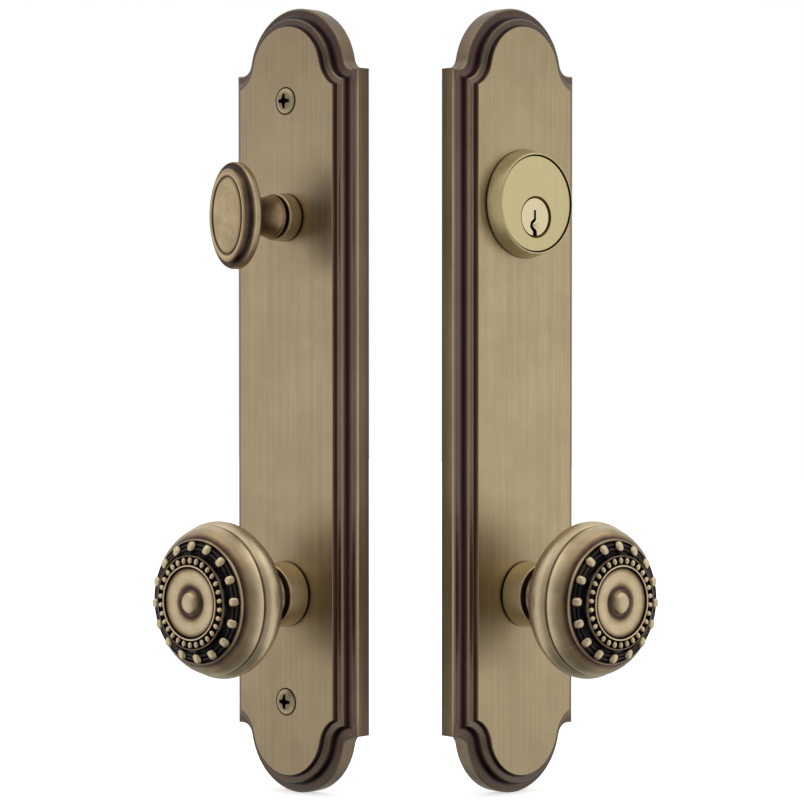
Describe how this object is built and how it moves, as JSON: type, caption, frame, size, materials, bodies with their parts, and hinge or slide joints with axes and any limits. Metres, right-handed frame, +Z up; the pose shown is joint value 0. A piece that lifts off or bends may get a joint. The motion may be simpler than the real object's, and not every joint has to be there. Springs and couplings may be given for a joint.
{
  "type": "entry door handleset",
  "caption": "Entry door handleset: two arched, moulded brass backplates with beaded round knobs; a thumb turn on the interior trim and a keyed cylinder on the exterior.",
  "frame": {"origin": "centre of the interior plate's back face, on the web across its pocket", "axes": "+Y into the door from the interior plate's back face, +Z up along the plates, +X to the right as seen from the room; the exterior plate stands beside, its frame turned 84 degrees about Z"},
  "size_m": [0.1481, 0.1428, 0.2922],
  "materials": {
    "antique_brass": "brushed antique brass, dark patina in the hollows",
    "satin_brass": "satin",
    "brass_screws": "antique brass plated steel",
    "zinc_steel": "zinc plated",
    "spring_steel": "dark oiled"
  },
  "bodies": {
    "fixed_trims": {"interior_plate": "antique_brass", "through_screws": "brass_screws", "interior_knob_bushing": "antique_brass", "interior_bushing_nut": "zinc_steel", "interior_spring_cup": "zinc_steel", "interior_cup_screws": "zinc_steel", "interior_return_spring": "spring_steel", "turn_bushing": "antique_brass", "turn_nut": "zinc_steel", "exterior_plate": "antique_brass", "threaded_posts": "zinc_steel", "exterior_knob_bushing": "antique_brass", "exterior_bushing_nut": "zinc_steel", "exterior_spring_cup": "zinc_steel", "exterior_cup_screws": "zinc_steel", "exterior_return_spring": "spring_steel", "cylinder_collar": "antique_brass", "lock_cylinder": "satin_brass", "cylinder_screws": "zinc_steel", "driver_pins": "satin_brass", "pin_springs": "spring_steel", "pin_cover": "satin_brass"},
    "interior_knob_set": {"interior_knob": "antique_brass", "interior_retaining_ring": "spring_steel", "interior_spindle": "zinc_steel", "interior_set_screw": "spring_steel", "interior_spring_cam": "zinc_steel"},
    "exterior_knob_set": {"exterior_knob": "antique_brass", "exterior_retaining_ring": "spring_steel", "exterior_spindle": "zinc_steel", "exterior_set_screw": "spring_steel", "exterior_spring_cam": "zinc_steel"},
    "thumb_turn_set": {"thumb_turn": "antique_brass", "turn_washer": "spring_steel", "turn_clip": "spring_steel", "turn_driver": "zinc_steel", "turn_pin": "spring_steel"},
    "plug_set": {"lock_plug": "satin_brass", "key_pins": "satin_brass", "plug_cap": "satin_brass", "tailpiece": "zinc_steel"}
  },
  "joints": [
    {"name": "interior_knob_turn", "type": "hinge", "parent": "fixed_trims", "child": "interior_knob_set", "pos_m": [0, 0, -0.07125], "axis": [0, 1, 0], "range_deg": [-50, 50], "stiffness_Nm_per_rad": 0.35, "deforming": ["interior_return_spring"]},
    {"name": "exterior_knob_turn", "type": "hinge", "parent": "fixed_trims", "child": "exterior_knob_set", "pos_m": [0.05403, 0.04865, -0.07125], "axis": [-0.9945, 0.1045, 0], "range_deg": [-50, 50], "stiffness_Nm_per_rad": 0.35, "deforming": ["exterior_return_spring"]},
    {"name": "thumb_turn_turn", "type": "hinge", "parent": "fixed_trims", "child": "thumb_turn_set", "pos_m": [0, 0, 0.06845], "axis": [0, 1, 0], "range_deg": [0, 90]},
    {"name": "plug_turn", "type": "hinge", "parent": "fixed_trims", "child": "plug_set", "pos_m": [0.05403, 0.04865, 0.06845], "axis": [-0.9945, 0.1045, 0], "range_deg": [-90, 90]}
  ]
}
